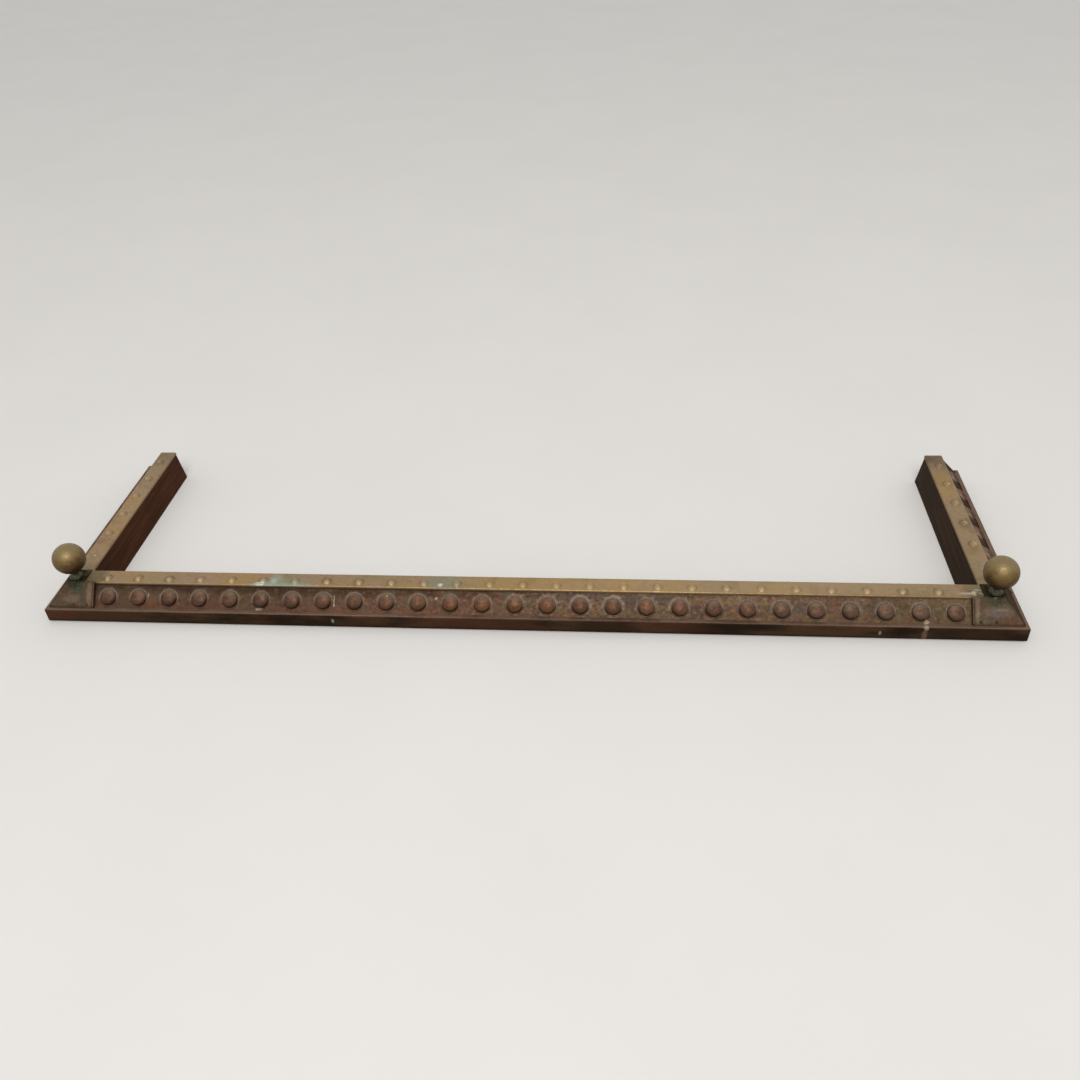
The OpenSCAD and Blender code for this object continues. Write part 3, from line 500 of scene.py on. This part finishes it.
capCopper = {
    "metallic": 0.85, "roughness": ("specks", 0.42, 0.62), "relief": 1.6,
    "speckRelief": 0.12, "edgeOn": "#7d6150",
    "tints": {"brown": "#513e2f", "grey": "#4f4537", "red": "#5b3c2d", "green": "#39402f",
              "fleck": "#848a76", "dirtAndShade": "#1d170f", "edge": "#6f5a48", "sallow": "#6e5c3c",
              "pale": "#83715d", "mauve": "#635751"},
    "clouds": {"patches": {"size": 22}, "reddening": {"size": 34, "shift": 5},
               "smears": {"size": 9, "detail": 4, "shift": 15},
               "specks": {"size": 4, "detail": 4, "rough": 0.7},
               "dents": {"size": 17, "detail": 2, "shift": 51}},
    # the leaves over brown
    "grey": ("grey", ("patches", 0.38, 0.62)),
    "red": ("reddening", 0.5, 0.7), "mostRed": {"left": 0.4, "right": 0.7},
    "leaves": (("edge", ("smears", 0.5, 0.75, 0, 0.4)), ("dirtAndShade", ("specks", 0.55, 0.75, 0, 0.4))),
    # marks on the front leaf, as distance from the corner, height, half width, half height,
    # share and tint, and where that leaf is
    "marks": {"left": ((66, 38, 4.5, 15, 0.45, "pale"), (46, 44, 14, 5, 0.35, "green"),
                       (41, 33, 13, 5, 0.3, "pale")),
              "right": ((67, 38, 3.5, 15, 0.4, "pale"), (40, 37, 20, 6, 0.6, "mauve"),
                        (36, 39, 11, 1.6, 0.5, "pale"), (20, 26, 9, 5, 0.5, "red"))},
    "frontLeaf": ("y", -150, -165),
    # the top, the damp and salts round the finial's foot, and painted shade along the lower edge
    "footUp": 1.5, "footFray": 16,
    "top": (("sallow", ("facingUp", 0.85, 0.98), ("smears", 0.3, 0.6, 0.5, 0.9)),
            ("green", ("fromFoot", 41, 22), ("patches", 0.36, 0.56, 0.4, 1), 0.85),
            ("dirtAndShade", ("fromFoot", 33, 16), 0.8),
            ("fleck", ("fromFoot", 38, 26), ("specks", 0.56, 0.66), 0.45),
            # painted shade along the cap's lower edge by the ledge
            ("dirtAndShade", ("z", 26, 23.5, 0, 0.5))),
}


def makeCapCopper(side):
    # sheet copper folded and closed over the corner, where hands take hold: grey-brown leaves,
    # a top as sallow as the brass beside it, near black and green with a few pale salts round
    # the foot of the finial where polish and damp collect
    look = capCopper
    material, tree, stock = newFinish("foldedCopper_" + side, look["tints"], look["clouds"])
    x, stock["y"], stock["z"] = addNode(tree, "SeparateXYZ", {0: stock["point"]}).outputs
    stock["facingUp"] = facingUp(tree)
    stock["flat"] = addNode(tree, "CombineXYZ", {0: x, 1: stock["z"]})
    sign = 1 if side == "right" else -1
    inset = fender["finialIn"]
    foot = Vector((sign * (fender["width"] / 2 - inset), inset - fender["depth"] / 2,
                   fender["railHeight"] + look["footUp"]))
    apart = addNode(tree, "VectorMath", {0: stock["point"], 1: foot}, operation="DISTANCE")
    stock["fromFoot"] = addNode(tree, "Math", {0: stock["smears"], 1: look["footFray"],
                                               2: apart.outputs["Value"]},
                                operation="MULTIPLY_ADD")
    colour = coated(tree, stock, "brown", look["grey"],
                    ("red", look["red"], look["mostRed"][side]), *look["leaves"])
    for away, height, long, high, most, tint in look["marks"][side]:
        place = sign * (fender["width"] / 2 - away)
        spot = patch(tree, stock, (place, height), (long, high), "smears")
        colour = coated(tree, stock, colour, (tint, spot, look["frontLeaf"], most))
    colour = coated(tree, stock, colour, *look["top"])
    finishMaterial(tree, stock, look, colour, dented(tree, stock, look, "dents"))
    return material


ballBrass = {
    "metallic": 0.85, "roughness": ("specks", 0.37, 0.56), "relief": 0.25,
    "tints": {"olive": "#735f38", "brown": "#60462b", "pale": "#87714b", "dark": "#33210f",
              "dust": "#8a7a5b"},
    "clouds": {"patches": {"size": 16}, "specks": {"size": 2.6, "detail": 4, "rough": 0.7}},
    # the ball over olive, with dust on top and painted shade beneath
    "sheet": (("brown", ("patches", 0.42, 0.66)), ("pale", ("specks", 0.48, 0.72, 0, 0.6)),
              ("brown", ("specks", 0.45, 0.3, 0, 0.45)),
              ("dust", ("facingUp", 0.3, 0.9), ("specks", 0.6, 0.35, 0.4, 0.8)),
              # painted shade: darker where the surface looks down
              ("dark", ("facingUp", 0.55, -0.5), 0.75)),
}


def makeBallBrass():
    # brass spun in two halves and soldered: olive gold gone dull with a soft broad shine,
    # browner clouds, and a dark brown painted shade underneath
    look = ballBrass
    material, tree, stock = newFinish("spunBrass", look["tints"], look["clouds"])
    stock["facingUp"] = facingUp(tree)
    colour = coated(tree, stock, "olive", *look["sheet"])
    finishMaterial(tree, stock, look, colour, stock["specks"])
    return material


# small metal pieces: a ground with a second tint in clouds
smallClouds = {"detail": 4, "rough": 0.65}
smallLevels = (0.42, 0.64)
plainMetals = {
    # turned brass out of a cloth's reach: near black olive with verdigris in the hollows
    "turnedBrassDark": {"ground": "#332f21", "over": "#545740", "size": 3, "metallic": 0.75,
                        "roughness": ("clouds", 0.44, 0.62), "relief": 0.15},
    # drawn steel kept dry under the timber: dull grey, browner in clouds
    "drawnSteel": {"ground": "#77736b", "over": "#56524b", "size": 8, "metallic": 0.9,
                   "roughness": ("clouds", 0.34, 0.52), "relief": 0.05},
    # forged iron with its scale on: black, a little rusty and uneven
    "forgedIron": {"ground": "#2b2927", "over": "#3d332b", "size": 9, "metallic": 0.5,
                   "roughness": ("clouds", 0.54, 0.72), "relief": 0.3},
    # nails of drawn copper: dark brown, as the leaf round them
    "drawnCopperDark": {"ground": "#4a3829", "over": "#33251a", "size": 4, "metallic": 0.85,
                        "roughness": ("clouds", 0.44, 0.62), "relief": 0.1},
    # pins of drawn brass: dull tan, as the strip's lip
    "drawnBrassDull": {"ground": "#86704b", "over": "#5f4c30", "size": 4, "metallic": 0.5,
                       "roughness": ("clouds", 0.39, 0.57), "relief": 0.05},
}


def makePlainMetal(name):
    look = plainMetals[name]
    tints = {key: look[key] for key in ("ground", "over")}
    clouds = {"clouds": {"size": look["size"], **smallClouds}}
    material, tree, stock = newFinish(name, tints, clouds)
    colour = coated(tree, stock, "ground", ("over", ("clouds", *smallLevels)))
    finishMaterial(tree, stock, look, colour, stock["clouds"])
    return material


timber = {
    "metallic": 0, "roughness": ("grain", 0.8, 0.65), "relief": 0.15, "specular": 0.1,
    # one stain in three copies: the left painted lighter and the right and front darker, as
    # painted light and shade
    "tints": {"left": {"light": "#4d2a13", "dark": "#33190a"},
              "right": {"light": "#37230f", "dark": "#22160a"},
              "front": {"light": "#3a1f11", "dark": "#231209"}},
    # growth rings 3 mm apart and pores, both drawn out along the rail, and clouds in the stain;
    # real pores are about 0.1 mm across, too fine to show, so they are drawn coarser
    "stretch": 30,
    "rings": {"grain": {"size": 3, "detail": 5, "rough": 0.6},
              "pores": {"size": 0.9, "detail": 2, "rough": 0.5, "shift": 7}},
    "clouds": {"staining": {"size": 60, "shift": 2}},
    "stain": (("light", ("grain", 0.3, 0.72, 0.15, 0.85)), ("dark", ("pores", 0.56, 0.74, 0, 0.5)),
              ("dark", ("staining", 0.42, 0.66, 0, 0.6))),
}


def makeStainedTimber(side):
    # sawn and planed softwood under dark stain and wax: grain drawn out along the rail, the
    # pores near black and the raised grain a little worn
    look = timber
    material, tree, stock = newFinish("stainedTimber_" + side, look["tints"][side],
                                      look["clouds"])
    long = (look["stretch"], 1, 1) if side == "front" else (1, look["stretch"], 1)
    for key, cloud in look["rings"].items():
        stock[key] = cloudy(tree, stock["point"], stretch=long, **cloud)
    colour = coated(tree, stock, "dark", *look["stain"])
    finishMaterial(tree, stock, look, colour, stock["grain"])
    return material


def dress(node, material):
    mesh = nodes[node].data
    mesh.materials.clear()
    mesh.materials.append(material)


for side in ("front", "left", "right"):
    dress(side + "_facing", makeBeatenCopper(side))
    dress(side + "_plinth", makePlinthCopper(side))
    dress(side + "_strip", makeStripBrass(side))
    dress(side + "_core", makeStainedTimber(side))
print("rails finished: facings, plinths, strips and cores")

ball = makeBallBrass()
collar, steel, iron, nail, pin = (makePlainMetal(name) for name in plainMetals)
for side in ("left", "right"):
    dress(side + "_cap", makeCapCopper(side))
    dress(side + "_ball", ball)
    dress(side + "_collar", collar)
    for name in ("_rod", "_washer", "_nut"):
        dress(side + name, steel)
    dress(side + "_strap", iron)
dress("corner_screws", steel)
dress("cap_nails", nail)
dress("strip_pins", pin)
dress("plinth_tacks", iron)
print("corners finished: caps, finials and fasteners")


# the floor's reach and drop and the lamp's size and place are in metres
studio = {
    "metallic": 0, "roughness": 0.85, "relief": 0.02, "reach": 40, "drop": 0.0005,
    "tints": {"board": "#e9e6e1", "shade": "#e2dfda"}, "clouds": {"soft": {"size": 300}},
    "shading": ("shade", ("soft", 0.3, 0.7, 0, 0.3)),
    "sky": "#ffffff", "skyLight": 0.6, "skySeen": 1.0, "lampPower": 105, "lampSize": 3.0,
    "lampPlace": (0.1, -2.9, 3.9),
}


def makeFloor():
    # painted board: pale, matt and nearly even
    reach = studio["reach"]
    mesh = bpy.data.meshes.new("studioFloor")
    mesh.from_pydata([(-reach, -reach, 0), (reach, -reach, 0), (reach, reach, 0),
                      (-reach, reach, 0)], [], [(0, 1, 2, 3)])
    floor = bpy.data.objects.new("studioFloor", mesh)
    bpy.context.scene.collection.objects.link(floor)
    floor.location.z = -studio["drop"]
    material, tree, stock = newFinish("paintedBoard", studio["tints"], studio["clouds"])
    colour = coated(tree, stock, "board", studio["shading"])
    finishMaterial(tree, stock, studio, colour, stock["soft"])
    mesh.materials.append(material)


def makeSky():
    # full strength where the camera, gloss or glass sees it, and less as light on the object
    world = bpy.data.worlds.new("studioSky")
    bpy.context.scene.world = world
    world.use_nodes = True
    tree = world.node_tree
    tree.nodes.clear()
    rays = addNode(tree, "LightPath")
    seen = rays.outputs["Is Camera Ray"]
    for kind in ("Is Glossy Ray", "Is Transmission Ray"):
        seen = addNode(tree, "Math", {0: seen, 1: rays.outputs[kind]}, operation="MAXIMUM")
    strength = addNode(tree, "Mix", {"Factor": seen, 2: studio["skyLight"],
                                    3: studio["skySeen"]})
    shade = addNode(tree, "Background", {"Color": hexColour(studio["sky"]),
                                         "Strength": strength})
    addNode(tree, "OutputWorld", {"Surface": shade})


def makeLamp():
    data = bpy.data.lights.new("keyLamp", "AREA")
    data.shape = "DISK"
    data.size = studio["lampSize"]
    data.energy = studio["lampPower"]
    lamp = bpy.data.objects.new("keyLamp", data)
    lamp.location = studio["lampPlace"]
    lamp.rotation_mode = "QUATERNION"
    lamp.rotation_quaternion = (-lamp.location).to_track_quat("-Z", "Y")
    bpy.context.scene.collection.objects.link(lamp)


# fitted to the photo: focal length over image width, place, and turns in degrees
view = {"focal": 978.07 / 1080, "place": (0.16387, -1.18723, 0.92414), "yaw": 6.90,
        "pitch": 37.24, "roll": -3.48, "sensor": 36}


def makeCamera():
    data = bpy.data.cameras.new("photoCamera")
    data.sensor_width = view["sensor"]
    data.lens = view["focal"] * view["sensor"]
    camera = bpy.data.objects.new("photoCamera", data)
    yaw, pitch, roll = (math.radians(view[turn]) for turn in ("yaw", "pitch", "roll"))
    ahead = Vector((-math.sin(yaw) * math.cos(pitch), math.cos(yaw) * math.cos(pitch),
                    -math.sin(pitch)))
    right = Vector((math.cos(yaw), math.sin(yaw), 0))
    top = right.cross(ahead)
    across = right * math.cos(roll) + top * math.sin(roll)
    upward = top * math.cos(roll) - right * math.sin(roll)
    turn = Matrix((across, upward, -ahead)).transposed().to_4x4()
    camera.matrix_world = Matrix.Translation(view["place"]) @ turn
    bpy.context.scene.collection.objects.link(camera)
    bpy.context.scene.camera = camera


makeFloor()
makeSky()
makeLamp()
makeCamera()
bpy.context.scene.view_settings.view_transform = "Standard"
print("studio done")
